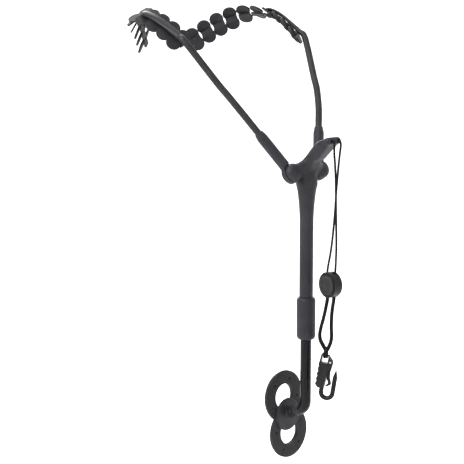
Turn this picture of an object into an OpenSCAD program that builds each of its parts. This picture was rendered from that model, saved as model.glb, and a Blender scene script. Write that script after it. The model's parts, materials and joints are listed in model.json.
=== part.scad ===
// Saxophone harness: a chest bar with two folding shoulder arms, a telescopic belly
// rest and a hanging cord with a hook. Millimetres, +Z up, -Y is the wearer's front.
// The origin is midway between the two shoulder rests. Most modules are drawn round
// the hub, whose two hinges lie on its X axis, and in_hub() puts them in place.

/* [Hub] */
// Distance from the hub's centre to each arm hinge
hinge_x = 23; // [21:0.5:26]
// Lean of the plane that the arms swing in, back from vertical
hinge_lean = 28; // [22:1:34]
// Radius of each hinge knuckle
knuckle_r = 11; // [10:0.5:12]
// How far the hub sits in front of the shoulder rests
hub_forward = 130; // [120:1:140]
// How far the hub hangs below the shoulder rests
hub_drop = 165; // [150:1:180]

/* [Tubes] */
// Outer radius of the tube that is part of the hub
outer_tube_r = 7.8; // [7.6:0.1:8]
// Radius of the sliding tube
inner_tube_r = 6.3; // [6:0.1:6.4]
// Height of the collar's top edge, below the hinges
collar_top = -142; // [-150:1:-136]
// Length of the collar
collar_len = 48; // [44:1:52]
// Outer radius of the collar
collar_r = 10.8; // [10.4:0.1:12]

/* [Arms] */
// Angle of each arm outward from the hub's middle plane
arm_splay = 28; // [22:1:32]
// Length of the thick lower part of an arm, from the hinge
socket_len = 59; // [50:1:64]
// Radius of the thick lower part of an arm
socket_r = 6.2; // [6:0.1:6.8]
// Radius of the thin part of an arm
rod_r = 4.1; // [3.8:0.1:4.4]

/* [Shoulder pads] */
// Distance between two leaves along the strip
leaf_pitch = 17; // [16.6:0.1:18]
// Radius of each of a leaf's two lobes
lobe_r = 8.5; // [8:0.1:8.5]
// Distance of each lobe's centre from the strip's middle
lobe_x = 7; // [6:0.5:9]
// Thickness of a leaf
leaf_t = 2.2; // [1.8:0.1:2.4]
// Number of leaves held under the arm
held_leaves = 4; // [3:1:5]
// Number of leaves that bend freely beyond the arm's tip
free_leaves = 6; // [4:1:6]

/* [Belly rest] */
// Outer radius of each of the rest's two rings
ring_r = 30; // [26:0.5:32]
// Inner radius of each ring
ring_hole_r = 14.5; // [12:0.5:16]
// Distance of each ring's centre from the middle of the rest
ring_offset = 22.3; // [20:0.1:24]
// Turn of the rest from upright
rest_turn = 11.5; // [0:0.5:20]

/* [Cord] */
// Diameter of the cord
cord_d = 2.5; // [2.3:0.1:2.6]
// Radius of the round cord lock
lock_r = 14.5; // [13.5:0.5:15]
// Turn of the cord lock about its cords
lock_yaw = 8; // [0:1:20]
// Lean of the hook, sideways from plumb
hook_lean = 9; // [4:1:12]

/* [Hidden] */
$fn = 64;
SIDES = ["left", "right"];
LINKS = [for (i = [1:free_leaves]) i];
SIDE_NODES = ["hinge_screw", "friction_washer", "spring_washer", "arm_socket",
    "arm_sheath", "arm_core", "strip_base", "strip_rivets"];

// Fits
run_gap = 0.05;
part_gap = 0.4;
eps = 0.01;

// Arm hinge, along its own axis: the arm's disc lies between its back and the washer
disc_z = -5.2;
disc_t = 6.6;
washer_t = 0.6;
disc_top = disc_z + disc_t;
dome_z = disc_top + washer_t;
dome_h = 9;
pin_r = 3;
pin_end = dome_z + 5.5;
head_r = 5.2;
head_t = 2.4;
spring_washer_t = 0.8;

// Tubes
tube_y = -3;
tube_bore_r = 6.9;
tube_bore_top = -24;
outer_tube_end = -170;
sleeve_r = 8.6;
sleeve_end = -184;
collar_bottom = collar_top - collar_len;
inner_wall = 1;
inner_top = -92;
bend_z = -262;
bend_r = 12;
bend_angle = 66;
stub_len = 6;
plug_len = 8;
bush_len = 14;

// Neck, from the end of the bent tube to the ball that the belly rest tilts on
neck_dir = [0, sin(bend_angle), -cos(bend_angle)];
neck_from = [0, tube_y + bend_r * (1 - cos(bend_angle)), bend_z - bend_r * sin(bend_angle)]
    + stub_len * neck_dir;
neck_r = 6.6;
ball_r = 3;
pivot_run = 9.5;
pivot_at = neck_from + pivot_run * neck_dir;

// Belly rest, in its own plane: the rest's middle lies on the neck's axis
rest_y = 25.5;
rest_run = (rest_y - neck_from[1]) / neck_dir[1];
rest_at = neck_from + rest_run * neck_dir;
plate_t = 2.4;
cushion_t = 2.2;
cushion_inset = 1.2;
cap_r = 19;
cap_t = 3;
hole_count = 5;
hole_r = 1.3;
hole_circle_r = 21.8;
rest_pin_r = 2.5;
rest_head_r = 4.2;
rest_head_t = 1.6;

// Beak that carries the cord, as [y, z, half width, radius] from the hub forward
BEAK = [[-4, 3, 8, 8], [-13, 17, 5, 6], [-24, 31.2, 5.5, 4.7], [-31, 34.4, 8, 4.4], [-41, 38, 7.4, 4.5]];
GUSSET = [[-13, 17, 5, 6], [-21, 20, 5, 5], [-37, 35, 7, 4.2]];
cord_hole_x = 5.4;
cord_hole_z = 38.4;
cord_hole_r = 2;
cord_hole_back = -41;

// Arm path: a straight stretch, one bend, then the curve over the shoulder; the runs are distances
// along the straight stretch and past the bend
arm_dir = [sin(arm_splay), cos(arm_splay) * sin(hinge_lean), cos(arm_splay) * cos(hinge_lean)];
upper_dir = [0.34, 0.565, 0.752];
arm_bend = [hinge_x, 0, 0] + 101 * arm_dir;
rod_start = 25;
arm_run = [rod_start, 44, 64, 86];
upper_run = [12, 30];
arm_steps = 4;
taper_len = 8;
mouth_r = 4.9;
core_r = 2.3;
core_bore_r = 2.4;
rod_sides = 16;

// Middle of the shoulder strip, from under the arm to its free end. Its outer face looks along bank
// under the arm and turns towards free_bank between the runs bank_from and bank_to
bank = [0.42, 0.08, 0.90];
free_bank = [0.5, 0.82, 0.28];
bank_from = 92;
bank_to = 150;
STRIP = [[88, 62, 108], [92.5, 80, 127], [95.6, 96, 142], [98.4, 113, 155], [101, 133, 166.5],
    [100.8, 151, 172], [93.5, 170, 173], [80, 187.5, 167], [63, 201, 157], [45, 215, 143],
    [31, 225, 131], [20, 233, 121]];
strip_steps = 6;
strip_w = 7;
strip_t = 2.4;
strip_drop = 1.4;
link_gap = 2.4;
leaf_tilt = 14;
waist_y = 4.5;
rivet_r = 1.6;
post_r = 2.4;
rivet_end_gap = 0.2;
rivet_head_r = 2.8;
rivet_head_t = 0.8;
first_leaf_s = 31;

// Paddle of the arm over the strip, by run along the strip: height, half width, half thickness
PADDLE_LIFT = [[10, 7.8], [30, 6.6], [46, 5.3], [60, 5], [92, 5]];
PADDLE_W = [[14, rod_r], [46, 4.8], [60, 5.3], [84, 5.3], [88, 4.4], [90, 3]];
PADDLE_T = [[14, rod_r], [46, 2.3], [60, 2], [84, 2], [88, 1.7], [90, 1.1]];
paddle_s = [18, 30, 42, 54, 66, 76, 84, 90];

// Cord lock, about its middle, with its button's face to the left
lock_at = [0, -40.2, -122.8];
lock_back = -4.8;
lock_front = 5.8;
lock_round = 1.6;
channel_y = 5.1;
channel_r = 2.9;
recess_floor = 4.2;
recess_r = 12.7;
button_r = 12.3;
button_z = 5.5;
button_t = 2.2;
stem_r = 1.7;
stem_z = 1;
spring_floor = -3.4;
cord_pair = 1.3;

// Hook, in its own plane, from the middle of its eye: x to the front, y up
eye_at = [0, -33, -207];
hook_yaw = 60;
eye_gap = 0.35;
bar_r = 1.2;
bar_from = -7.4;
bar_to = 0.6;
hook_t = 7;
eye_x = -3.2;
eye_w = 7;
eye_h = 7.5;
HOOK_FRAME = [[-8, 2.4], [-9.6, -10], [-9.8, -33.4], [-6.6, -36.8], [0.4, -36.6], [1.2, -27],
    [2.6, -12], [5.6, -8.2], [5.8, -5], [3.2, -1.6], [1, 0.4], [0.8, 2.4]];
GATE = [[1.2, -2.6], [5.2, -2.8], [6.5, -6], [6, -9.5], [5, -17], [5.3, -23], [7.8, -30], [7.4, -31.6],
    [4.4, -33.4], [2, -34.6], [1.6, -33.4], [4, -30.4], [3.8, -28], [2.2, -26.4], [1.4, -17], [1, -8]];
gate_t = 3;
gate_slot_t = 3.6;
gate_slot_x = -4.6;
gate_pivot = [3.4, -5.6];
gate_pin_r = 1.1;
bow_at = [4.5, -41];
bow_r = 6.6;
hook_rod_r = 2.7;
tip_from = -22;
tip_to = -14.4;
notch_y = [-12, -17.8, -23.6, -29.4];
notch_x = -10.3;
notch_r = 1.5;

// Route of the upper cord: up from the lock, through the beak and back down
UPPER = [[1.3, -44.9, -113], [1.4, -45.1, -105], [1.2, -45.8, -95], [0.6, -46.8, -80], [-0.6, -47.5, -60],
    [-2, -48.1, -40], [-3, -48.6, -20], [-3.9, -48.8, -2], [-4.7, -48.3, 14], [-5.2, -47.7, 24],
    [-5.4, -47.8, 30], [-5.4, -47.9, 34], [-5.4, -47.3, 37], [-5.4, -45.6, 38.3], [-5.3, -43.4, 38.4],
    [-4.4, -41.6, 38.4], [-2.4, -40.8, 38.4], [0, -40.7, 38.4], [2.4, -40.8, 38.4], [4.4, -41.6, 38.4],
    [5.3, -43.4, 38.4], [5.4, -45.6, 38.3], [5.4, -47.3, 37], [5.4, -47.9, 34], [5.4, -47.6, 30],
    [5.1, -46.9, 24], [4.6, -46, 14], [3.8, -44.9, -2], [2.8, -44, -20], [1.8, -43.4, -40], [0.8, -42.2, -60],
    [0, -40.8, -76], [-0.8, -39, -90], [-1.2, -37, -100], [-1.3, -35.8, -107], [-1.3, -35.5, -113]];

// Route of each loop from the lock down to the hook's eye and back, as [y, z, turn];
// the turn swings the pair of loops from the lock's row round to the hook's eye
LOOP = [[-44.6, -133, 0], [-44.2, -139.5, 0], [-43, -146, 0], [-41.6, -155, 0], [-41, -164, 0],
    [-41, -173, 0], [-41.4, -182, 0], [-41.2, -189, 10], [-40, -195, 28], [-37.6, -200, 50],
    [-35.65, -204.4, 60], [-34.5, -206.5, 60], [-33, -207, 60], [-31.5, -206.5, 60], [-30.35, -204.4, 60],
    [-27.6, -200, 50], [-24.9, -195, 28], [-23.6, -189, 10], [-23.9, -182, 0], [-25.8, -173, 0],
    [-28.8, -164, 0], [-31.4, -155, 0], [-33.6, -146, 0], [-34.9, -139.5, 0], [-35.3, -133, 0]];

// ---------- small helpers ----------
function unit(v) = v / norm(v);

// Place of the children, with their x, y and z along the three given unit vectors
module frame_at(p, x, y, z)
    multmatrix([[x[0], y[0], z[0], p[0]], [x[1], y[1], z[1], p[1]], [x[2], y[2], z[2], p[2]], [0, 0, 0, 1]])
        children();

// Place of the hub: its middle lies in front of and below the middle of the shoulder rests
module in_hub() translate([0, -hub_forward, -hub_drop]) children();

// The swing plane of the arms: x outward, y up along the plane, z to the front
module in_hinge() rotate([90 - hinge_lean, 0, 0]) children();

module on_side(s) if (s == "left") mirror([1, 0, 0]) children(); else children();

module ring(r, bore, h) difference() {
    cylinder(r = r, h = h);
    translate([0, 0, -1]) cylinder(r = bore, h = h + 2);
}

// A disc or post with a rounded far edge
module dome(r, h, edge) rotate_extrude() {
    square([r, h - edge]);
    square([r - edge, h]);
    intersection() {
        translate([r - edge, h - edge]) circle(r = edge);
        square([r, h]);
    }
}

// ---------- swept tubes ----------
// Rings of points round a path; each row of sections is [half width, half thickness]
function path_dir(p, i) = unit(p[min(i + 1, len(p) - 1)] - p[max(i - 1, 0)]);
function across(ref, d) = unit(ref - (ref * d) * d);
function ring_at(p, i, sec, sides, ref) =
    let (d = path_dir(p, i), n = across(ref, d), w = cross(d, n))
    [for (k = [0:sides - 1]) let (a = 360 * k / sides)
        p[i] + sec[0] * cos(a) * w + sec[1] * sin(a) * n];
function rings(p, secs, sides, ref) =
    [for (i = [0:len(p) - 1]) each ring_at(p, i, secs[i], sides, ref)];
function skin(rows, sides, at, out) = [for (i = [0:rows - 2]) for (k = [0:sides - 1])
    let (a = at + i * sides + k, b = at + i * sides + (k + 1) % sides, c = b + sides, d = a + sides)
    each (out ? [[a, b, c], [a, c, d]] : [[a, c, b], [a, d, c]])];
function lid(at, sides, out) = [for (k = [1:sides - 2])
    out ? [at, at + k, at + k + 1] : [at, at + k + 1, at + k]];

module sweep(p, secs, sides, ref) {
    last = (len(p) - 1) * sides;
    polyhedron(rings(p, secs, sides, ref),
        concat(skin(len(p), sides, 0, true), lid(0, sides, false), lid(last, sides, true)));
}

// The same with a bore that is open at the path's start
module hollow_sweep(p, secs, bore, bore_path, sides, ref) {
    outer = rings(p, secs, sides, ref);
    inner = rings(bore_path, [for (q = bore_path) [bore, bore]], sides, ref);
    n = len(outer);
    last = (len(p) - 1) * sides;
    inner_last = n + (len(bore_path) - 1) * sides;
    rim = [for (k = [0:sides - 1]) let (b = (k + 1) % sides)
        each [[k, n + k, n + b], [k, n + b, b]]];
    polyhedron(concat(outer, inner),
        concat(skin(len(p), sides, 0, true), lid(last, sides, true),
            skin(len(bore_path), sides, n, false), lid(inner_last, sides, false), rim));
}

module cord_tube(route) sweep(route, [for (q = route) [cord_d / 2, cord_d / 2]], 8, [0.2, 0.3, 0.05]);

// ---------- the strip's curve ----------
function catmull(a, b, c, d, t) = 0.5 * ((2 * b) + (c - a) * t
    + (2 * a - 5 * b + 4 * c - d) * t * t + (3 * b - a - 3 * c + d) * t * t * t);
STRIP_POINTS = [for (i = [1:len(STRIP) - 3]) for (k = [0:strip_steps - 1])
    catmull(STRIP[i - 1], STRIP[i], STRIP[i + 1], STRIP[i + 2], k / strip_steps)];
function run_length(p, i = 0, s = 0) = i == len(p) - 1 ? [s]
    : concat([s], run_length(p, i + 1, s + norm(p[i + 1] - p[i])));
STRIP_RUN = run_length(STRIP_POINTS);
function strip_at(s) = [for (k = [0:2])
    lookup(s, [for (i = [0:len(STRIP_RUN) - 1]) [STRIP_RUN[i], STRIP_POINTS[i][k]]])];
function strip_dir(s) = unit(strip_at(s + 4) - strip_at(s - 4));
function bank_share(s) = let (t = min(max((s - bank_from) / (bank_to - bank_from), 0), 1))
    t * t * (3 - 2 * t);
function strip_up(s) = across((1 - bank_share(s)) * bank + bank_share(s) * free_bank, strip_dir(s));
function leaf_s(i) = first_leaf_s + leaf_pitch * i;

// Frame on the right strip: x to its outer side, y towards its free end, z away from the wearer
module on_strip(s) frame_at(strip_at(s), cross(strip_dir(s), strip_up(s)), strip_dir(s), strip_up(s))
    children();

// The swing plane of the right arm, with y along the arm's straight stretch
module in_arm() translate([hinge_x, 0, 0]) in_hinge() rotate([0, 0, -arm_splay]) children();

// The belly rest's plane: y up along its two rings, z towards the wearer
module in_rest() translate(rest_at) rotate([90, 0, 180]) rotate([0, 0, -rest_turn]) children();

// The neck's axis, with z away from the tube
module in_neck() translate(neck_from) rotate([bend_angle - 180, 0, 0]) children();

// The cord lock: y up, z towards its button's face
lock_face = [-cos(lock_yaw), sin(lock_yaw), 0];
module in_lock() frame_at(lock_at, cross([0, 0, 1], lock_face), [0, 0, 1], lock_face) children();

// The hook: x to its tip's side, y up
hook_front = [cos(hook_yaw), -sin(hook_yaw), 0];
module in_hook() frame_at(eye_at, hook_front, [0, 0, 1], cross(hook_front, [0, 0, 1]))
    rotate([0, 0, -hook_lean]) translate([-eye_x, cord_d / 2 + eye_gap, 0]) children();

// ---------- hub and tubes ----------
module beak_ball(e, s) translate([s * e[2], e[0], e[1]]) sphere(r = e[3], $fn = 28);
module beak_web(balls) hull() for (e = balls, s = [-1, 1]) beak_ball(e, s);
module beak() {
    for (i = [0:len(BEAK) - 2]) beak_web([BEAK[i], BEAK[i + 1]]);
    beak_web(GUSSET);
}

// Web from the beak's foot to the top of a hinge dome
module shoulder() hull() {
    translate([hinge_x, 0, 0]) in_hinge() translate([-4, 2, dome_z + 3]) sphere(r = 6, $fn = 28);
    translate([5, -5.5, 5]) sphere(r = 8.5, $fn = 28);
    translate([4, -11, 15]) sphere(r = 4.5, $fn = 28);
}

module dome_side() translate([hinge_x, 0, 0]) in_hinge() translate([0, 0, dome_z])
    dome(knuckle_r, dome_h, 7.5);

module tube_body() translate([0, tube_y, 0]) rotate_extrude() polygon([[0, 12], [7, 12], [10.5, 4], [12, -6],
    [12.6, -13], [10.9, -19], [9.7, -28], [8.7, -38], [7.9, -52], [outer_tube_r, -72],
    [outer_tube_r, outer_tube_end], [0, outer_tube_end]]);

module hub_body() color("#2f2d33") in_hub() difference() {
    union() {
        beak();
        tube_body();
        for (s = SIDES) on_side(s) {
            shoulder();
            dome_side();
        }
    }
    translate([0, tube_y, outer_tube_end - 1])
        cylinder(r = tube_bore_r, h = tube_bore_top - outer_tube_end + 1);
    for (s = SIDES) on_side(s) translate([hinge_x, 0, 0]) in_hinge() {
        translate([0, 0, -40]) cylinder(r = knuckle_r + part_gap, h = 40 + dome_z - eps);
        cylinder(r = pin_r, h = pin_end);
    }
    for (s = [-1, 1]) translate([s * cord_hole_x, cord_hole_back, cord_hole_z])
        rotate([90, 0, 0]) cylinder(r = cord_hole_r, h = 20);
    translate([-cord_hole_x, cord_hole_back, cord_hole_z]) rotate([0, 90, 0])
        cylinder(r = cord_hole_r, h = 2 * cord_hole_x);
}

module clamp_sleeve() color("#3a3a3c") in_hub() translate([0, tube_y, sleeve_end]) difference() {
    ring(sleeve_r, inner_tube_r + run_gap, outer_tube_end - sleeve_end);
    translate([-0.6, 0, -1]) cube([1.2, 20, outer_tube_end - sleeve_end + 2]);
}

module collar() color("#38353b") in_hub() translate([0, tube_y, 0]) rotate_extrude() polygon([
    [outer_tube_r + run_gap, collar_top], [collar_r - 1.8, collar_top], [collar_r, collar_top - 2.6],
    [collar_r, collar_bottom + 3], [collar_r - 0.8, collar_bottom + 0.8], [collar_r - 2.6, collar_bottom],
    [inner_tube_r + 0.3, collar_bottom], [inner_tube_r + 0.3, sleeve_end - 0.4],
    [sleeve_r + run_gap, sleeve_end - 0.4], [sleeve_r + run_gap, outer_tube_end + 0.4],
    [outer_tube_r + run_gap, outer_tube_end + 0.4]]);

module rest_tube() color("#232227") in_hub() {
    translate([0, tube_y, bend_z]) ring(inner_tube_r, inner_tube_r - inner_wall, inner_top - bend_z);
    translate([0, tube_y + bend_r, bend_z]) rotate([0, 90, 0]) rotate([0, 0, -90])
        rotate_extrude(angle = bend_angle) translate([bend_r, 0]) difference() {
            circle(r = inner_tube_r);
            circle(r = inner_tube_r - inner_wall);
        }
}

module guide_bush() color("#2b2a2f") in_hub() translate([0, tube_y, inner_top - bush_len - 2])
    ring(tube_bore_r - run_gap, inner_tube_r, bush_len);

module tube_end_plug() color("#2a2a2c") in_hub() translate([0, tube_y, inner_top]) {
    translate([0, 0, -plug_len]) cylinder(r = inner_tube_r - inner_wall, h = plug_len);
    cylinder(r = inner_tube_r, h = 1.6);
}

// ---------- belly rest ----------
// A stub moulded to the tube's end, two ribs and a stem with a ball on it
module flex_neck() color("#2c2a30") in_hub() in_neck() {
    translate([0, 0, -stub_len]) cylinder(r = inner_tube_r, h = stub_len);
    cylinder(r = neck_r, h = 2.2);
    translate([0, 0, 3.9]) cylinder(r = neck_r, h = 2.2);
    cylinder(r = ball_r - 0.8, h = pivot_run);
    translate([0, 0, pivot_run]) sphere(r = ball_r);
}

// The disc on the front of the rest, with the ball's cup on its neck
module rest_swivel_cap() color("#323036") in_hub() difference() {
    union() {
        in_rest() mirror([0, 0, 1]) dome(cap_r, cap_t, 2.4);
        difference() {
            in_neck() translate([0, 0, pivot_run + 0.9]) cylinder(r = neck_r, h = rest_run - pivot_run + 6);
            in_rest() cylinder(r = cap_r, h = 30);
        }
    }
    translate(pivot_at) sphere(r = ball_r + run_gap);
    in_neck() translate([0, 0, pivot_run]) cylinder(r1 = ball_r - 0.4, r2 = ball_r + run_gap, h = 0.9 + eps);
    in_rest() translate([0, 0, -2.2]) cylinder(r = rest_pin_r, h = 10);
}

module rest_outline(inset) for (s = [-1, 1]) translate([0, s * ring_offset]) circle(r = ring_r - inset);
module rest_holes(r) for (s = [-1, 1]) translate([0, s * ring_offset]) {
    circle(r = ring_hole_r);
    for (k = [1:hole_count - 1]) rotate(s * -90 + 360 * k / hole_count) translate([hole_circle_r, 0])
        circle(r = r, $fn = 24);
}

module belly_plate() color("#39373c") in_hub() in_rest() difference() {
    linear_extrude(plate_t) difference() {
        rest_outline(0);
        rest_holes(hole_r);
        circle(r = rest_pin_r + run_gap);
    }
    translate([0, 0, plate_t - rest_head_t]) cylinder(r = rest_head_r + part_gap, h = 5);
}

module ring_cushions() color("#454347") in_hub() in_rest() translate([0, 0, plate_t])
    linear_extrude(cushion_t) difference() {
        rest_outline(cushion_inset);
        rest_holes(hole_r + 0.4);
        circle(r = rest_head_r + 1);
    }

module rest_screw() color("#8b8b8e") in_hub() in_rest() {
    translate([0, 0, -2.2]) cylinder(r = rest_pin_r, h = 2.2 + plate_t - rest_head_t + run_gap);
    translate([0, 0, plate_t - rest_head_t + run_gap]) difference() {
        cylinder(r = rest_head_r, h = rest_head_t);
        translate([0, 0, rest_head_t - 0.9]) cylinder(r = 1.7, h = 2, $fn = 6);
    }
}

// ---------- arms, drawn for the right side ----------
module hinge_screw() color("#77777a") in_hub() translate([hinge_x, 0, 0]) in_hinge() {
    translate([0, 0, disc_z - spring_washer_t]) cylinder(r = pin_r, h = pin_end - disc_z + spring_washer_t);
    translate([0, 0, disc_z - spring_washer_t]) mirror([0, 0, 1]) difference() {
        dome(head_r, head_t, 1.2);
        translate([0, 0, head_t - 1.4]) cylinder(r = 2, h = 3, $fn = 6);
    }
}

module friction_washer() color("#26252a") in_hub() translate([hinge_x, 0, 0]) in_hinge()
    translate([0, 0, disc_top]) ring(knuckle_r - 0.6, pin_r, washer_t - 2 * eps);

module spring_washer() color("#6e6e72") in_hub() translate([hinge_x, 0, 0]) in_hinge()
    translate([0, 0, disc_z - spring_washer_t]) ring(head_r - 0.2, pin_r, spring_washer_t);

module arm_socket() color("#2b2930") in_hub() difference() {
    union() {
        translate([hinge_x, 0, 0]) in_hinge() translate([0, 0, disc_top]) mirror([0, 0, 1])
            dome(knuckle_r, disc_t, 1.6);
        in_arm() rotate([-90, 0, 0]) {
            translate([0, 0, head_r + 1]) cylinder(r = socket_r, h = socket_len - taper_len - head_r - 1);
            translate([0, 0, socket_len - taper_len]) cylinder(r1 = socket_r, r2 = mouth_r, h = taper_len);
        }
    }
    translate([hinge_x, 0, 0]) in_hinge() {
        translate([0, 0, disc_top]) cylinder(r = knuckle_r + part_gap, h = 20);
        translate([0, 0, -20]) cylinder(r = pin_r + run_gap, h = 40);
    }
    in_arm() rotate([-90, 0, 0]) translate([0, 0, rod_start]) cylinder(r = rod_r, h = socket_len);
}

// Points of the right arm as [x, y, z, half width, half thickness]: the rod, its bend and the paddle
function rod_row(p) = [p[0], p[1], p[2], rod_r, rod_r];
function paddle_row(s) = let (p = strip_at(s) + lookup(s, PADDLE_LIFT) * strip_up(s))
    [p[0], p[1], p[2], lookup(s, PADDLE_W), lookup(s, PADDLE_T)];
ARM_ROWS = concat([for (d = arm_run) rod_row([hinge_x, 0, 0] + d * arm_dir)],
    [for (d = upper_run) rod_row(arm_bend + d * upper_dir)], [for (s = paddle_s) paddle_row(s)]);
arm_last = len(ARM_ROWS) - 1;
ARM_ENDED = concat([2 * ARM_ROWS[0] - ARM_ROWS[1]], ARM_ROWS,
    [2 * ARM_ROWS[arm_last] - ARM_ROWS[arm_last - 1]]);
ARM_CURVE = concat([for (i = [1:len(ARM_ENDED) - 3]) for (k = [0:arm_steps - 1])
    catmull(ARM_ENDED[i - 1], ARM_ENDED[i], ARM_ENDED[i + 1], ARM_ENDED[i + 2], k / arm_steps)],
    [ARM_ROWS[arm_last]]);
ARM_PATH = [for (r = ARM_CURVE) [r[0], r[1], r[2]]];
ARM_SECTIONS = [for (r = ARM_CURVE) [r[3], r[4]]];
core_rows = arm_steps * (len(arm_run) + len(upper_run) - 1);
CORE_PATH = [for (i = [0:core_rows]) ARM_PATH[i]];

module arm_sheath() color("#2a282e") in_hub()
    hollow_sweep(ARM_PATH, ARM_SECTIONS, core_bore_r, CORE_PATH, rod_sides, bank);

module arm_core() color("#8c8c90") in_hub()
    sweep(CORE_PATH, [for (p = CORE_PATH) [core_r, core_r]], rod_sides, bank);

// ---------- shoulder strip ----------
strip_start = leaf_s(0) - leaf_pitch / 2;
function link_s(i) = strip_start + leaf_pitch * (held_leaves + i - 1);

module leaf() rotate([leaf_tilt, 0, 0]) translate([0, 0, -leaf_t / 2]) linear_extrude(leaf_t) {
    for (s = [-1, 1]) translate([s * lobe_x, 0]) circle(r = lobe_r);
    square([lobe_x, 2 * waist_y], center = true);
}

// One leaf on its own length of strip, and the post between them
module leaf_piece(s, before, after) on_strip(s) {
    leaf();
    translate([-strip_w / 2, -before, -strip_drop - strip_t]) cube([strip_w, before + after, strip_t]);
    translate([0, 0, -strip_drop - strip_t / 2]) cylinder(r = post_r, h = strip_drop + strip_t / 2);
}

module strip_base() color("#3b3a3d") in_hub() difference() {
    for (i = [0:held_leaves - 1])
        leaf_piece(leaf_s(i), leaf_pitch / 2, leaf_pitch / 2 - (i == held_leaves - 1 ? link_gap / 2 : 0));
    for (i = [0:held_leaves - 1]) on_strip(leaf_s(i)) translate([0, 0, -10]) cylinder(r = rivet_r, h = 20);
}

module strip_rivets() color("#56565a") in_hub() for (i = [0:held_leaves - 1]) on_strip(leaf_s(i)) {
    translate([0, 0, -strip_drop - strip_t]) cylinder(r = rivet_r, h = strip_drop + strip_t
        + lookup(leaf_s(i), PADDLE_LIFT) - lookup(leaf_s(i), PADDLE_T) - rivet_end_gap);
    translate([0, 0, -strip_drop - strip_t - rivet_head_t]) cylinder(r = rivet_head_r, h = rivet_head_t);
}

module pad_link(i) color("#3b3a3d") in_hub()
    leaf_piece(link_s(i) + leaf_pitch / 2, (leaf_pitch - link_gap) / 2, (leaf_pitch - link_gap) / 2);

// ---------- cord, lock and hook ----------
module cord_upper() color("#1b1b1d") in_hub() cord_tube(UPPER);

// s is -1 for the left loop and 1 for the right one
function loop_point(q, s) = eye_at + [0, 0, q[1] - eye_at[2]]
    + s * cord_pair * [cos(q[2]), -sin(q[2]), 0] + (q[0] - eye_at[1]) * [sin(q[2]), cos(q[2]), 0];
module cord_loop(s) color("#1b1b1d") in_hub() cord_tube([for (q = LOOP) loop_point(q, s)]);
module cord_loop_left() cord_loop(-1);
module cord_loop_right() cord_loop(1);

module cord_lock_housing() color("#2c2c2e") in_hub() difference() {
    in_lock() translate([0, 0, lock_back]) difference() {
        translate([0, 0, lock_front - lock_back]) mirror([0, 0, 1])
            dome(lock_r, lock_front - lock_back, lock_round);
        translate([0, 0, recess_floor - lock_back]) cylinder(r = recess_r, h = 10);
        translate([0, 0, spring_floor - lock_back]) cylinder(r = stem_r + run_gap, h = 20);
    }
    for (s = [-1, 1]) translate(lock_at + [0, s * channel_y, -20]) cylinder(r = channel_r, h = 40);
}

module cord_lock_button() color("#252527") in_hub() in_lock() {
    translate([0, 0, button_z]) dome(button_r, button_t, 0.9);
    translate([0, 0, stem_z]) cylinder(r = stem_r, h = button_z - stem_z + eps);
}

module coil(r, wire, h, turns) sweep([for (a = [0:30:360 * turns]) [r * cos(a), r * sin(a),
    wire + (h - 2 * wire) * a / (360 * turns)]],
    [for (a = [0:30:360 * turns]) [wire, wire]], 6, [0.03, 0.02, 1]);

module cord_lock_spring() color("#9a9a9c") in_hub() in_lock() translate([0, 0, spring_floor])
    coil(1.3, 0.25, stem_z - spring_floor, 4);

module slab(outline, t) translate([0, 0, -t / 2]) linear_extrude(t) polygon(outline);

module hook_body() color("#26272a") in_hub() in_hook() {
    difference() {
        slab(HOOK_FRAME, hook_t);
        translate([eye_x - eye_w / 2, -eye_h, -hook_t]) cube([eye_w, eye_h + 5, 2 * hook_t]);
        translate([gate_slot_x, -35.2, -gate_slot_t / 2]) cube([30, 25.7, gate_slot_t]);
        translate([0.4, -12, -gate_slot_t / 2]) cube([30, 20, gate_slot_t]);
        translate([0, 0, -10]) translate(gate_pivot) cylinder(r = gate_pin_r, h = 20);
        for (y = notch_y) translate([notch_x, y, -hook_t]) cylinder(r = notch_r, h = 2 * hook_t);
    }
    translate([bar_from, bar_r, 0]) rotate([0, 90, 0]) cylinder(r = bar_r, h = bar_to - bar_from);
    translate([bow_at[0] - bow_r, bow_at[1], 0]) rotate([-90, 0, 0]) cylinder(r = hook_rod_r, h = 5.6);
    translate(bow_at) rotate([0, 0, 180]) rotate_extrude(angle = 180) translate([bow_r, 0])
        circle(r = hook_rod_r);
    translate([bow_at[0] + bow_r, bow_at[1], 0]) rotate([-90, 0, 0]) {
        cylinder(r = hook_rod_r, h = tip_from - bow_at[1]);
        translate([0, 0, tip_from - bow_at[1]]) cylinder(r1 = hook_rod_r, r2 = 0.7, h = tip_to - tip_from);
    }
}

module hook_gate() color("#1f2022") in_hub() in_hook() difference() {
    slab(GATE, gate_t);
    translate([gate_pivot[0], gate_pivot[1], -10]) cylinder(r = gate_pin_r + run_gap, h = 20);
}

module gate_pin() color("#9a9a9c") in_hub() in_hook() translate([gate_pivot[0], gate_pivot[1], -hook_t / 2])
    cylinder(r = gate_pin_r, h = hook_t);

module gate_spring() color("#9a9a9c") in_hub() in_hook() translate([gate_slot_x, -21, 0]) rotate([0, 90, 0])
    coil(1.1, 0.25, 5.4, 5);

hub_body();
clamp_sleeve();
collar();
rest_tube();
guide_bush();
tube_end_plug();
flex_neck();
rest_swivel_cap();
belly_plate();
ring_cushions();
rest_screw();
cord_upper();
cord_lock_housing();
cord_lock_button();
cord_lock_spring();
cord_loop_left();
cord_loop_right();
hook_body();
hook_gate();
gate_pin();
gate_spring();
for (s = SIDES) {
    on_side(s) hinge_screw();
    on_side(s) friction_washer();
    on_side(s) spring_washer();
    on_side(s) arm_socket();
    on_side(s) arm_sheath();
    on_side(s) arm_core();
    on_side(s) strip_base();
    on_side(s) strip_rivets();
    for (i = LINKS) on_side(s) pad_link(i);
}
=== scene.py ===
"""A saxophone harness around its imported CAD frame: camera, cords, moulded parts, pads, lights."""
import json
import math

import bmesh
import bpy
import numpy as np
from mathutils import Matrix, Vector


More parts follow.
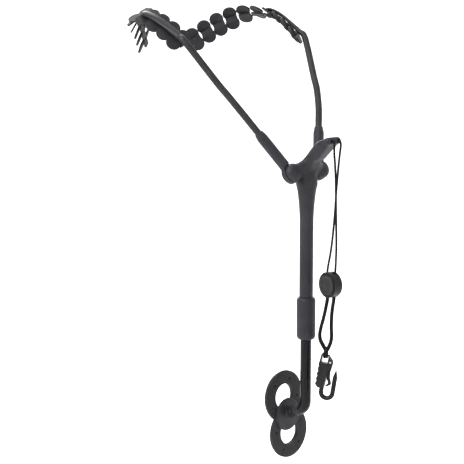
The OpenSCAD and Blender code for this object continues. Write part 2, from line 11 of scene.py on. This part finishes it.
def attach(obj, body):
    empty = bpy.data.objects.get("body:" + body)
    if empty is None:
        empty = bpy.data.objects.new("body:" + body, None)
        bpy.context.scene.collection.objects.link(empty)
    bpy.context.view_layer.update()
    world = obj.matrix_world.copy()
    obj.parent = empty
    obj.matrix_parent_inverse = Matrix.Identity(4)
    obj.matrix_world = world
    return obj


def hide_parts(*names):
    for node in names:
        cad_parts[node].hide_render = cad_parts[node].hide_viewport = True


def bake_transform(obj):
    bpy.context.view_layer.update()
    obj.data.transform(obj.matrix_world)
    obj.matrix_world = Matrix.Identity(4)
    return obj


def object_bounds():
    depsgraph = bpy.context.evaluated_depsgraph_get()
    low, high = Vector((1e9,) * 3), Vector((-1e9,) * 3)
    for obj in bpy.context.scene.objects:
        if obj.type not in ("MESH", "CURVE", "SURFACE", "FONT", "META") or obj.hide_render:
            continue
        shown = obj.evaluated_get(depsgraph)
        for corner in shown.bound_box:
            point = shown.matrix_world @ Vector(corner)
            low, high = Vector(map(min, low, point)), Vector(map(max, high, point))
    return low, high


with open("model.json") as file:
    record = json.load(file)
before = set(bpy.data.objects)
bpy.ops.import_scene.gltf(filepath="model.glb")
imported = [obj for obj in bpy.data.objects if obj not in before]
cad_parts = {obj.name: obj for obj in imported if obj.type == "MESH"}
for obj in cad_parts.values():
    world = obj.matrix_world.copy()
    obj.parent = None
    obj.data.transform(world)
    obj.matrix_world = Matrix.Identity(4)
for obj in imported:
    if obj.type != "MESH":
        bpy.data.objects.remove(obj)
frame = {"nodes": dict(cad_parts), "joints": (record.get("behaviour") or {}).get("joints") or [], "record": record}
cad_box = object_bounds()

MM = 0.001
HUB = Vector((0, -130, -165)) * MM
SIDES = ("left", "right")
LINKS = range(1, 7)
JOINTS = {j["name"]: j for j in frame["joints"]}


def hub(x, y, z):
    """A point given in millimetres from the hub's centre, in the row frame in metres."""
    return HUB + Vector((x, y, z)) * MM


# ---------- camera ----------
CAMERA_AZIMUTH = math.radians(-46)
CAMERA_ELEVATION = math.radians(8.5)
CAMERA_DISTANCE = 2.0
CAMERA_ASIDE = (-0.08165, -0.06698)
CAMERA_LENS = 138.5
SENSOR_WIDTH = 36
CLIP = (0.1, 60)


def make_camera():
    a, e = CAMERA_AZIMUTH, CAMERA_ELEVATION
    back = Vector((math.sin(a) * math.cos(e), -math.cos(a) * math.cos(e), math.sin(e)))
    right = Vector((math.cos(a), math.sin(a), 0))
    up = back.cross(right)
    cam = bpy.data.objects.new("camera", bpy.data.cameras.new("camera"))
    bpy.context.scene.collection.objects.link(cam)
    cam.data.lens = CAMERA_LENS
    cam.data.sensor_width = SENSOR_WIDTH
    cam.data.clip_start, cam.data.clip_end = CLIP
    place = HUB + back * CAMERA_DISTANCE + right * CAMERA_ASIDE[0] + up * CAMERA_ASIDE[1]
    cam.matrix_world = Matrix.Translation(place) @ Matrix((right, up, back)).transposed().to_4x4()
    bpy.context.scene.camera = cam


make_camera()


# ---------- mesh helpers ----------
def add_object(name, mesh):
    obj = bpy.data.objects.new(name, mesh)
    bpy.context.scene.collection.objects.link(obj)
    return obj


def mesh_from(name, verts, faces):
    mesh = bpy.data.meshes.new(name)
    mesh.from_pydata([tuple(v) for v in verts], [], faces)
    mesh.update()
    return mesh


def shade(obj):
    """Smooth shading on every face."""
    obj.data.polygons.foreach_set("use_smooth", [True] * len(obj.data.polygons))
    return obj


def applied(obj):
    """Replaces the object's mesh by its evaluated one and drops the modifiers."""
    depsgraph = bpy.context.evaluated_depsgraph_get()
    mesh = bpy.data.meshes.new_from_object(obj.evaluated_get(depsgraph))
    obj.modifiers.clear()
    obj.data = mesh
    return obj


def node_copy(node, name):
    """A free copy of a CAD node's mesh, with its doubled corners welded."""
    source = frame["nodes"][node]
    obj = add_object(name, source.data.copy())
    obj.data.transform(source.matrix_world)
    bm = bmesh.new()
    bm.from_mesh(obj.data)
    bmesh.ops.remove_doubles(bm, verts=bm.verts, dist=1e-6)
    bm.to_mesh(obj.data)
    bm.free()
    obj.data.materials.clear()
    return obj


FLAT_ANGLE = math.radians(0.6)
SHARP_ANGLE = math.radians(35)


def edge_rounded(obj, width):
    """Merges flat facets and rounds every sharp edge."""
    bm = bmesh.new()
    bm.from_mesh(obj.data)
    bmesh.ops.dissolve_limit(bm, angle_limit=FLAT_ANGLE, verts=bm.verts, edges=bm.edges)
    bm.to_mesh(obj.data)
    bm.free()
    bevel = obj.modifiers.new("bevel", "BEVEL")
    bevel.width = width
    bevel.segments = 2
    bevel.limit_method = "ANGLE"
    bevel.angle_limit = SHARP_ANGLE
    bevel.use_clamp_overlap = True
    applied(obj)
    shade(obj)
    normals = obj.modifiers.new("normals", "WEIGHTED_NORMAL")
    normals.keep_sharp = False
    return obj


def remeshed(obj, voxel):
    remesh = obj.modifiers.new("remesh", "REMESH")
    remesh.mode = "VOXEL"
    remesh.voxel_size = voxel
    remesh.use_smooth_shade = True
    return applied(obj)


def relaxed(obj, steps, weight=None):
    """Pulls each corner towards its neighbours' mean, by 0.5 times weight(points), for some steps."""
    mesh = obj.data
    count = len(mesh.vertices)
    co = np.empty(count * 3)
    mesh.vertices.foreach_get("co", co)
    co = co.reshape(-1, 3)
    ends = np.empty(len(mesh.edges) * 2, dtype=np.int64)
    mesh.edges.foreach_get("vertices", ends)
    a, b = ends.reshape(-1, 2).T
    degree = np.maximum(np.bincount(np.concatenate((a, b)), minlength=count), 1)[:, None]
    pull = 0.5 if weight is None else 0.5 * weight(co)[:, None]
    for _ in range(steps):
        mean = np.zeros_like(co)
        for axis in range(3):
            mean[:, axis] = np.bincount(a, co[b, axis], count) + np.bincount(b, co[a, axis], count)
        co += pull * (mean / degree - co)
    mesh.vertices.foreach_set("co", co.ravel())
    mesh.update()
    return shade(obj)


def smooth_path(points, per_span):
    """A Catmull-Rom curve through the points."""
    p = [points[0] * 2 - points[1]] + list(points) + [points[-1] * 2 - points[-2]]
    out = []
    for a, b, c, d in zip(p, p[1:], p[2:], p[3:]):
        for k in range(per_span):
            t = k / per_span
            out.append(0.5 * (2 * b + (c - a) * t + (2 * a - 5 * b + 4 * c - d) * t * t
                              + (3 * b - a - 3 * c + d) * t ** 3))
    return out + [points[-1].copy()]


def tube(name, path, radius, sides=20):
    """A closed tube round the path, with its run and its turn kept as corner attributes."""
    verts, faces, along, around = [], [], [], []
    normal = Vector((0.3, 0.2, 0.9))
    run = 0.0
    for i, p in enumerate(path):
        direction = (path[min(i + 1, len(path) - 1)] - path[max(i - 1, 0)]).normalized()
        normal = (normal - direction * normal.dot(direction)).normalized()
        side = direction.cross(normal)
        run += (p - path[i - 1]).length if i else 0
        for k in range(sides):
            a = 2 * math.pi * k / sides
            verts.append(p + radius * (math.cos(a) * side + math.sin(a) * normal))
            along.append(run)
            around.append(k / sides)
    for i in range(len(path) - 1):
        for k in range(sides):
            a, b = i * sides + k, i * sides + (k + 1) % sides
            faces.append((a, b, b + sides, a + sides))
    faces.append(tuple(range(sides))[::-1])
    faces.append(tuple(range(len(verts) - sides, len(verts))))
    obj = add_object(name, mesh_from(name, verts, faces))
    for label, values in (("along", along), ("turn_x", [math.cos(2 * math.pi * t) for t in around]),
                          ("turn_y", [math.sin(2 * math.pi * t) for t in around])):
        obj.data.attributes.new(label, "FLOAT", "POINT").data.foreach_set("value", values)
    return shade(obj)


# ---------- cords ----------
CORD_D = 2.5 * MM
CORD_PAIR = 1.3 * MM

# Route of the upper cord from the lock through the beak and back, in millimetres from the hub
UPPER = [
    (1.3, -44.9, -113), (1.4, -45.1, -105), (1.2, -45.8, -95), (0.6, -46.8, -80), (-0.6, -47.5, -60),
    (-2, -48.1, -40), (-3, -48.6, -20), (-3.9, -48.8, -2), (-4.7, -48.3, 14), (-5.2, -47.7, 24),
    (-5.4, -47.8, 30), (-5.4, -47.9, 34), (-5.4, -47.3, 37), (-5.4, -45.6, 38.3), (-5.3, -43.4, 38.4),
    (-4.4, -41.6, 38.4), (-2.4, -40.8, 38.4), (0, -40.7, 38.4), (2.4, -40.8, 38.4), (4.4, -41.6, 38.4),
    (5.3, -43.4, 38.4), (5.4, -45.6, 38.3), (5.4, -47.3, 37), (5.4, -47.9, 34), (5.4, -47.6, 30),
    (5.1, -46.9, 24), (4.6, -46, 14), (3.8, -44.9, -2), (2.8, -44, -20), (1.8, -43.4, -40), (0.8, -42.2, -60),
    (0, -40.8, -76), (-0.8, -39, -90), (-1.2, -37, -100), (-1.3, -35.8, -107), (-1.3, -35.5, -113)]
UPPER_MIDDLE = 17

# Route of each loop as (y, z, turn), from the lock to the hook's eye and back
LOOP = [
    (-44.6, -133, 0), (-44.2, -139.5, 0), (-43, -146, 0), (-41.6, -155, 0), (-41, -164, 0),
    (-41, -173, 0), (-41.4, -182, 0), (-41.2, -189, 10), (-40, -195, 28), (-37.6, -200, 50),
    (-35.65, -204.4, 60), (-34.5, -206.5, 60), (-33, -207, 60), (-31.5, -206.5, 60), (-30.35, -204.4, 60),
    (-27.6, -200, 50), (-24.9, -195, 28), (-23.6, -189, 10), (-23.9, -182, 0), (-25.8, -173, 0),
    (-28.8, -164, 0), (-31.4, -155, 0), (-33.6, -146, 0), (-34.9, -139.5, 0), (-35.3, -133, 0)]
EYE = hub(0, -33, -207)
SPAN_STEPS = 6


def braided(name, points, node):
    """A cord along the points that stands for the node."""
    path = smooth_path(points, SPAN_STEPS)
    cord = paint(tube(name, path, CORD_D / 2), "cord_fabric")
    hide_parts(node)
    return cord


def upper_strand(name, points):
    cord = braided(name, [hub(*p) for p in points], "cord_upper")
    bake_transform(cord)


def loop_point(y, z, turn, side):
    """A point of a loop: the pair of loops is turned about the upright line through the hook's eye."""
    t = math.radians(turn)
    across = Vector((math.cos(t), -math.sin(t), 0)) * side * CORD_PAIR
    forward = Vector((math.sin(t), math.cos(t), 0)) * (HUB.y + y * MM - EYE.y)
    return Vector((0, EYE.y, HUB.z + z * MM)) + across + forward


def lower_loop(side_name, side):
    points = [loop_point(*q, side) for q in LOOP]
    cord = braided(f"cord_loop_{side_name}_braid", points, f"cord_loop_{side_name}")
    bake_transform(cord)


def make_cords():
    upper_strand("cord_upper_front", UPPER[:UPPER_MIDDLE + 1][::-1])
    upper_strand("cord_upper_rear", UPPER[UPPER_MIDDLE:])
    lower_loop("left", -1)
    lower_loop("right", 1)


# ---------- materials ----------
class Nodes:
    """Short names for building one material's node tree, in the row frame's own coordinates."""

    def __init__(self, name):
        self.material = bpy.data.materials.new(name)
        self.material.use_nodes = True
        self.tree = self.material.node_tree
        self.tree.nodes.clear()
        self.shader = self.add("ShaderNodeBsdfPrincipled")
        self.join(self.shader.outputs["BSDF"], self.add("ShaderNodeOutputMaterial").inputs["Surface"])
        self.place = self.add("ShaderNodeTexCoord").outputs["Object"]

    def add(self, kind, **settings):
        node = self.tree.nodes.new(kind)
        for key, value in settings.items():
            setattr(node, key, value)
        return node

    def join(self, output, socket):
        self.tree.links.new(output, socket)

    def noise(self, size, detail=2.0):
        """Noise whose features are about size metres across."""
        node = self.add("ShaderNodeTexNoise")
        node.inputs["Scale"].default_value = 1 / size
        node.inputs["Detail"].default_value = detail
        self.join(self.place, node.inputs["Vector"])
        return node.outputs["Fac"]

    def ramp(self, value, low, high, out_low=0.0, out_high=1.0):
        node = self.add("ShaderNodeMapRange", interpolation_type="SMOOTHSTEP")
        for key, number in (("From Min", low), ("From Max", high), ("To Min", out_low), ("To Max", out_high)):
            node.inputs[key].default_value = number
        self.join(value, node.inputs["Value"])
        return node.outputs["Result"]

    def combine(self, operation, a, b):
        """One maths operation on two values, each a number or another node's output."""
        node = self.add("ShaderNodeMath", operation=operation)
        for socket, value in zip(node.inputs, (a, b)):
            if isinstance(value, (int, float)):
                socket.default_value = value
            else:
                self.join(value, socket)
        return node.outputs["Value"]

    def mix(self, share, a, b):
        """Colour a at share 0 and colour b at share 1."""
        node = self.add("ShaderNodeMix", data_type="RGBA")
        self.join(share, node.inputs["Factor"])
        for socket, value in ((node.inputs[6], a), (node.inputs[7], b)):
            if isinstance(value, tuple):
                socket.default_value = (*value, 1)
            else:
                self.join(value, socket)
        return node.outputs[2]

    def bump(self, height, depth, strength=1.0, under=None):
        node = self.add("ShaderNodeBump")
        node.inputs["Strength"].default_value = strength
        node.inputs["Distance"].default_value = depth
        self.join(height, node.inputs["Height"])
        if under:
            self.join(under, node.inputs["Normal"])
        return node.outputs["Normal"]

    def finish(self, colour, roughness, normal, **settings):
        self.join(colour, self.shader.inputs["Base Color"])
        self.join(roughness, self.shader.inputs["Roughness"])
        self.join(normal, self.shader.inputs["Normal"])
        for key, value in settings.items():
            self.shader.inputs[key].default_value = value
        return self.material


def tinted(colour, factor):
    return tuple(min(c * factor, 1) for c in colour)


DULL = 0.14
SATIN = 0.12


def moulded(name, colour, roughness, grain=0.0005, depth=0.00003, speckle=0.0, wear_and_highlight=0.3, gloss=DULL):
    """Moulded plastic or rubber: cloudy tone, fine grain, pale speckle, and paler edges that are partly wear and
    partly a painted edge highlight.
    """
    n = Nodes(name)
    cloud = n.noise(0.018, 3)
    fine = n.noise(grain)
    tone = n.mix(n.ramp(cloud, 0.3, 0.7), tinted(colour, 0.84), tinted(colour, 1.18))
    tone = n.mix(n.ramp(n.noise(0.0009, 1), 0.6, 0.72, 0, speckle), tone, tinted(colour, 2.6))
    edges = n.add("ShaderNodeNewGeometry").outputs["Pointiness"]
    # Paler on sharp outer edges: partly wear, partly a painted edge highlight.
    tone = n.mix(n.ramp(edges, 0.53, 0.62, 0, wear_and_highlight), tone, tinted(colour, 3.2))
    rough = n.ramp(fine, 0.3, 0.7, roughness - 0.06, roughness + 0.08)
    swell = n.bump(cloud, 0.0004, 0.25)
    return n.finish(tone, rough, n.bump(fine, depth, 0.8, swell), **{"Specular IOR Level": gloss})


STEEL_DARK = (0.3, 0.3, 0.31)
STEEL_PALE = (0.5, 0.5, 0.5)


def plated_steel(name):
    """Zinc-plated steel with fine drawn lines."""
    n = Nodes(name)
    lines = n.noise(0.0004, 4)
    tone = n.mix(n.ramp(n.noise(0.004, 3), 0.35, 0.7), STEEL_DARK, STEEL_PALE)
    return n.finish(tone, n.ramp(lines, 0.3, 0.7, 0.24, 0.42), n.bump(lines, 0.00002, 0.6), Metallic=1.0)


CORD_DARK = (0.0012, 0.0012, 0.0014)
CORD_PALE = (0.007, 0.007, 0.0076)
STRANDS = 8
BRAID_PITCH = 0.0085


def braid(name):
    """Round braided cord: two families of strands that wind opposite ways and cross."""
    n = Nodes(name)

    def attribute(label):
        return n.add("ShaderNodeAttribute", attribute_name=label).outputs["Fac"]

    turn = n.combine("MULTIPLY", n.combine("ARCTAN2", attribute("turn_y"), attribute("turn_x")), STRANDS / 2)
    run = n.combine("MULTIPLY", attribute("along"), STRANDS * math.pi / BRAID_PITCH)
    one = n.combine("SINE", n.combine("ADD", run, turn), 0)
    other = n.combine("SINE", n.combine("SUBTRACT", run, turn), 0)
    weave = n.combine("MULTIPLY", one, other)
    threads = n.combine("MULTIPLY", n.noise(0.00025, 2), 0.3)
    height = n.combine("ADD", weave, threads)
    # Paler on the weave's raised crests and darker in its hollows: painted shade between the strands.
    tone = n.mix(n.ramp(weave, -0.7, 0.8), CORD_DARK, CORD_PALE)
    rough = n.ramp(n.noise(0.003, 2), 0.3, 0.7, 0.62, 0.8)
    dull = {"Sheen Weight": 0.01, "Sheen Roughness": 0.5, "Specular IOR Level": 0.08}
    return n.finish(tone, rough, n.bump(height, 0.00012, 0.8), **dull)


MOULDED = {
    "hub_plastic": dict(colour=(0.0122, 0.0116, 0.0142), roughness=0.46, speckle=0.2),
    "arm_coating": dict(colour=(0.011, 0.011, 0.012), roughness=0.4, grain=0.0007, speckle=0.1),
    "tube_coating": dict(colour=(0.0022, 0.0021, 0.003), roughness=0.2, grain=0.0004, depth=0.00001,
                         wear_and_highlight=0.1, gloss=SATIN),
    "nylon": dict(colour=(0.008, 0.008, 0.009), roughness=0.5, wear_and_highlight=0.1),
    "pad_rubber": dict(colour=(0.0078, 0.0074, 0.0088), roughness=0.55, grain=0.0006, depth=0.00005,
                       speckle=0.3),
    "rivet_plastic": dict(colour=(0.006, 0.006, 0.007), roughness=0.4, wear_and_highlight=0.2),
    "rest_plastic": dict(colour=(0.0088, 0.0086, 0.0096), roughness=0.58, grain=0.0008, depth=0.00006,
                         speckle=0.5),
    "cushion_rubber": dict(colour=(0.012, 0.012, 0.012), roughness=0.7, grain=0.0009, depth=0.00006,
                           speckle=0.35),
    "lock_plastic": dict(colour=(0.0072, 0.007, 0.0078), roughness=0.34, speckle=0.15),
    "hook_plastic": dict(colour=(0.0042, 0.0044, 0.004), roughness=0.26, grain=0.0009, speckle=0.1,
                         gloss=SATIN),
}
MATERIALS = {name: moulded(name, **look) for name, look in MOULDED.items()}
MATERIALS["steel"] = plated_steel("steel")
MATERIALS["cord_fabric"] = braid("cord_fabric")
RECORD = frame["record"]
BODY_OF = {node: body for body, nodes in RECORD["behaviour"]["bodies"].items() for node in nodes}
SLOT_OF = {part["node"]: part["material_slot"] for part in RECORD["subparts"]}


def paint(obj, slot):
    obj.data.materials.clear()
    obj.data.materials.append(MATERIALS[slot])
    return obj


def stands_for(obj, node, slot):
    """The piece takes the node's place, its body and its finish."""
    paint(obj, slot)
    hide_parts(node)
    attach(obj, BODY_OF[node])
    return obj


# ---------- carried nodes ----------
def carry_nodes():
    """Nodes that nothing replaces keep their CAD shape and take their finish."""
    for node, obj in frame["nodes"].items():
        obj.data.materials.clear()
        obj.data.materials.append(MATERIALS[SLOT_OF[node]])


# Rounding of each node's edges, in millimetres
ROUNDED = {
    "clamp_sleeve": 0.3, "rest_tube": 0.2, "tube_end_plug": 0.3, "guide_bush": 0.3, "flex_neck": 0.5,
    "rest_swivel_cap": 0.4, "belly_plate": 0.5, "ring_cushions": 0.6, "rest_screw": 0.25,
    "cord_lock_housing": 0.45, "hook_body": 0.4, "hook_gate": 0.4,
}
SIDE_ROUNDED = {"hinge_screw": 0.25, "spring_washer": 0.15, "strip_base": 0.45, "strip_rivets": 0.3}


def rounded_piece(node, width):
    piece = edge_rounded(node_copy(node, node + "_shell"), width * MM)
    return stands_for(piece, node, SLOT_OF[node])


def make_rounded_pieces():
    for node, width in ROUNDED.items():
        rounded_piece(node, width)
    for side in SIDES:
        for part, width in SIDE_ROUNDED.items():
            rounded_piece(f"{side}_{part}", width)
        for i in LINKS:
            rounded_piece(f"{side}_pad_link_{i}", SIDE_ROUNDED["strip_base"])


# ---------- moulded hub and arms ----------
def smoothstep(value, low, high):
    t = np.clip((value - low) / (high - low), 0, 1)
    return t * t * (3 - 2 * t)


def near(points, centre, radius):
    """1 at the centre and 0 from radius outwards."""
    return 1 - smoothstep(np.linalg.norm(points - np.array(centre), axis=1), 0.6 * radius, radius)


CORD_HOLES = [hub(x, -44, 38.4) for x in (-5.4, 5.4)]
CORD_HOLE_REACH = 0.0045
BORE_TOP = hub(0, -3, -23)
BORE_WALL = 0.0074
SOFT_FROM = HUB.z - 0.07
SOFT_ABOVE = HUB.z - 0.04
HOLE_HOLD = 0.85
HUB_VOXEL = 0.0007
HUB_STEPS = 26


def hub_softness(points):
    """1 where the hub flows, at its beak, shoulders and domes; its cord holes and bore keep their size."""
    soft = smoothstep(points[:, 2], SOFT_FROM, SOFT_ABOVE)
    for hole in CORD_HOLES:
        soft *= 1 - HOLE_HOLD * near(points, hole, CORD_HOLE_REACH)
    from_axis = np.hypot(points[:, 0] - BORE_TOP.x, points[:, 1] - BORE_TOP.y)
    soft[(from_axis < BORE_WALL) & (points[:, 2] < BORE_TOP.z)] = 0
    return soft


def make_hub():
    piece = remeshed(node_copy("hub_body", "hub_shell"), HUB_VOXEL)
    stands_for(relaxed(piece, HUB_STEPS, hub_softness), "hub_body", "hub_plastic")


# Dimple in each arm's rod, as the right one's place and a point that it goes in towards
DIMPLE = (79.5, 49, 94.5)
DIMPLE_TO = (76.85, 52.6, 93)
DIMPLE_R = 0.0017
DIMPLE_DEPTH = 0.0008
DIMPLE_REACH = 0.003

SHEATH_VOXEL = 0.0006
SHEATH_STEPS = 10
SOCKET_VOXEL = 0.0005
SOCKET_STEPS = 12


def dented(obj, centre, towards):
    """A small round dimple that goes in towards a point."""
    inward = (towards - centre).normalized()
    for v in obj.data.vertices:
        off = v.co - centre
        flat = (off - inward * off.dot(inward)).length
        if abs(off.dot(inward)) < DIMPLE_REACH and flat < DIMPLE_R:
            v.co += inward * DIMPLE_DEPTH * math.cos(flat / DIMPLE_R * math.pi / 2)
    obj.data.update()
    return obj


def make_arms():
    for side in SIDES:
        sign = -1 if side == "left" else 1
        sheath = remeshed(node_copy(f"{side}_arm_sheath", f"{side}_arm_skin"), SHEATH_VOXEL)
        sheath = relaxed(sheath, SHEATH_STEPS)
        centre, towards = (hub(sign * p[0], p[1], p[2]) for p in (DIMPLE, DIMPLE_TO))
        stands_for(dented(sheath, centre, towards), f"{side}_arm_sheath", "arm_coating")
        socket = remeshed(node_copy(f"{side}_arm_socket", f"{side}_socket_shell"), SOCKET_VOXEL)
        stands_for(relaxed(socket, SOCKET_STEPS), f"{side}_arm_socket", "hub_plastic")


# ---------- turned pieces ----------
def turned(name, profile, place, sides=96, squash=None):
    """A closed loop of (radius, height) points in millimetres, turned about place's z axis."""
    verts, faces = [], []
    for r, z in profile:
        for k in range(sides):
            a = 2 * math.pi * k / sides
            rr = squash(a, r, z) if squash else r
            verts.append(place @ (Vector((rr * math.cos(a), rr * math.sin(a), z)) * MM))
    rows = len(profile)
    for i in range(rows):
        for k in range(sides):
            a, b = i * sides + k, i * sides + (k + 1) % sides
            c, d = ((i + 1) % rows) * sides + (k + 1) % sides, ((i + 1) % rows) * sides + k
            faces.append((a, b, c, d))
    obj = add_object(name, mesh_from(name, verts, faces))
    bm = bmesh.new()
    bm.from_mesh(obj.data)
    bmesh.ops.remove_doubles(bm, verts=bm.verts, dist=1e-7)
    bmesh.ops.recalc_face_normals(bm, faces=bm.faces)
    bm.to_mesh(obj.data)
    bm.free()
    return shade(obj)


COLLAR_PROFILE = [
    (7.85, -142), (8.8, -142), (9.3, -142.2), (10.5, -144), (10.75, -144.8), (10.8, -146), (10.8, -150),
    (10.8, -158), (10.8, -166), (10.8, -174), (10.8, -182), (10.8, -185.4), (10.6, -187), (10, -188.5),
    (9.1, -189.6), (8.2, -190), (6.9, -190), (6.6, -189.6), (6.6, -184.4), (8.65, -184.4), (8.65, -169.6),
    (7.85, -169.6)]
COLLAR_FLATS = 14
FLAT_STEPS = 8
FLAT_SHARE = 0.45
COLLAR_SMOOTH_R = 9.5


def collar_flat(angle, radius, height):
    """Shallow flats down the collar's outer wall."""
    if radius < COLLAR_SMOOTH_R:
        return radius
    step = 2 * math.pi / COLLAR_FLATS
    flat = math.cos(step / 2) / math.cos(angle % step - step / 2)
    return radius * (1 - FLAT_SHARE + FLAT_SHARE * flat)


def make_collar():
    place = Matrix.Translation(hub(0, -3, 0))
    collar = turned("collar_shell", COLLAR_PROFILE, place, COLLAR_FLATS * FLAT_STEPS, collar_flat)
    stands_for(collar, "collar", "hub_plastic")


def axis_frame(origin, z, up):
    """A frame with z along the given direction and y as near to up as it can be."""
    z = z.normalized()
    x = up.cross(z).normalized()
    return Matrix.Translation(origin) @ Matrix((x, z.cross(x), z)).transposed().to_4x4()


LOCK_FACE = -Vector(JOINTS["button_press"]["axis"])
LOCK_AT = hub(0, -40.2, -122.8)
BUTTON_PROFILE = [
    (0, 7.15), (4, 7.1), (7.6, 6.95), (8.3, 7), (8.9, 7.25), (9.8, 7.5), (10.8, 7.45), (11.5, 7.1),
    (11.85, 6.4), (11.9, 5.6), (11.7, 5.5), (1.7, 5.5), (1.7, 1), (0, 1)]


def make_button():
    place = axis_frame(LOCK_AT, LOCK_FACE, Vector((0, 0, 1)))
    stands_for(turned("lock_button_cap", BUTTON_PROFILE, place), "cord_lock_button", "lock_plastic")


# ---------- neck ----------
NECK_PIVOT = Vector(JOINTS["rest_tilt"]["pos_m"])
PIVOT_RUN = 0.0095
NECK_DIR = (Vector(JOINTS["rest_turn"]["pos_m"]) - NECK_PIVOT).normalized()
NECK_FROM = NECK_PIVOT - NECK_DIR * PIVOT_RUN

# Gaiter along the neck's axis, in millimetres from the end of the bent tube
GAITER_FROM = 0.6
GAITER_TO = 11.4
GAITER_FOLDS = 4
GAITER_STEPS = 60
GAITER_R = 4.6
GAITER_RIPPLE = 0.35
GAITER_WALL = 0.9


def make_gaiter():
    """A soft ribbed core that closes the neck between its ribs."""
    wall = []
    for k in range(GAITER_STEPS + 1):
        t = k / GAITER_STEPS
        ripple = GAITER_RIPPLE * math.cos(2 * math.pi * GAITER_FOLDS * t)
        wall.append((GAITER_R + ripple, GAITER_FROM + (GAITER_TO - GAITER_FROM) * t))
    inner = [(r - GAITER_WALL, z) for r, z in reversed(wall)]
    place = axis_frame(NECK_FROM, NECK_DIR, Vector((1, 0, 0)))
    gaiter = paint(turned("neck_gaiter", wall + inner, place, 64), "rivet_plastic")
    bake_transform(gaiter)


# ---------- stage ----------
FLOOR_DROP = 0.3
SWEEP_R = 1.2
SWEEP_BACK = 4.0
STAGE_TOP = 4.0
STAGE_GLOW = 0.35
STAGE_SIDES = 96
FLOOR_STEPS = 8
SWEEP_STEPS = 12
PAPER = ((0.9, 0.9, 0.9), (0.93, 0.93, 0.93))


def make_stage():
    """A pale floor below the hanging harness that sweeps up into a backdrop on every side."""
    low = cad_box[0][2] - FLOOR_DROP
    profile = [(0.001, low)]
    profile += [(SWEEP_BACK * k / FLOOR_STEPS, low) for k in range(1, FLOOR_STEPS + 1)]
    for k in range(1, SWEEP_STEPS + 1):
        a = math.pi / 2 * k / SWEEP_STEPS
        profile.append((SWEEP_BACK + SWEEP_R * math.sin(a), low + SWEEP_R * (1 - math.cos(a))))
    profile.append((SWEEP_BACK + SWEEP_R, low + STAGE_TOP))
    turns = [2 * math.pi * k / STAGE_SIDES for k in range(STAGE_SIDES)]
    verts = [(r * math.cos(t), r * math.sin(t), z) for r, z in profile for t in turns]
    faces = []
    for i in range(len(profile) - 1):
        for k in range(STAGE_SIDES):
            a, b = i * STAGE_SIDES + k, i * STAGE_SIDES + (k + 1) % STAGE_SIDES
            faces.append((a, b, b + STAGE_SIDES, a + STAGE_SIDES))
    stage = shade(add_object("stage", mesh_from("stage", verts, faces)))
    paper = Nodes("stage_paper")
    soft = paper.noise(0.3, 2)
    tone = paper.mix(soft, *PAPER)
    rough = paper.ramp(soft, 0, 1, 0.85, 0.95)
    glow = {"Emission Color": (1, 1, 1, 1), "Emission Strength": STAGE_GLOW}
    stage.data.materials.append(paper.finish(tone, rough, paper.bump(soft, 0.001, 0.1), **glow))


WORLD_LIGHT = 0.8

# Azimuth and elevation in degrees, distance and size in metres, watts
LIGHTS = {
    "key": (-95, 40, 2.2, (0.7, 1.4), 85),
    "fill": (10, 20, 2.6, (1.6, 1.6), 8),
    "rim": (150, 40, 2.4, (0.6, 1.8), 40),
    "top": (0, 88, 2.6, (2.4, 2.4), 30),
}


def area_light(name, azimuth, elevation, distance, size, watts):
    a, e = math.radians(azimuth), math.radians(elevation)
    back = Vector((math.sin(a) * math.cos(e), -math.cos(a) * math.cos(e), math.sin(e)))
    light = bpy.data.lights.new(name, "AREA")
    light.shape = "RECTANGLE"
    light.size, light.size_y = size
    light.energy = watts
    obj = add_object(name, light)
    obj.matrix_world = axis_frame(HUB + back * distance, back, Vector((0, 0, 1)))


def make_lights():
    """Soft light from every side, with a broad key from the upper left; white stays white in the picture."""
    bpy.context.scene.view_settings.view_transform = "Standard"
    world = bpy.data.worlds.new("studio")
    world.use_nodes = True
    background = world.node_tree.nodes["Background"]
    background.inputs["Color"].default_value = (1, 1, 1, 1)
    background.inputs["Strength"].default_value = WORLD_LIGHT
    bpy.context.scene.world = world
    for name, settings in LIGHTS.items():
        area_light(name, *settings)


# ---------- build ----------
carry_nodes()
make_hub()
make_arms()
make_rounded_pieces()
make_collar()
make_button()
make_gaiter()
make_cords()
make_stage()
make_lights()
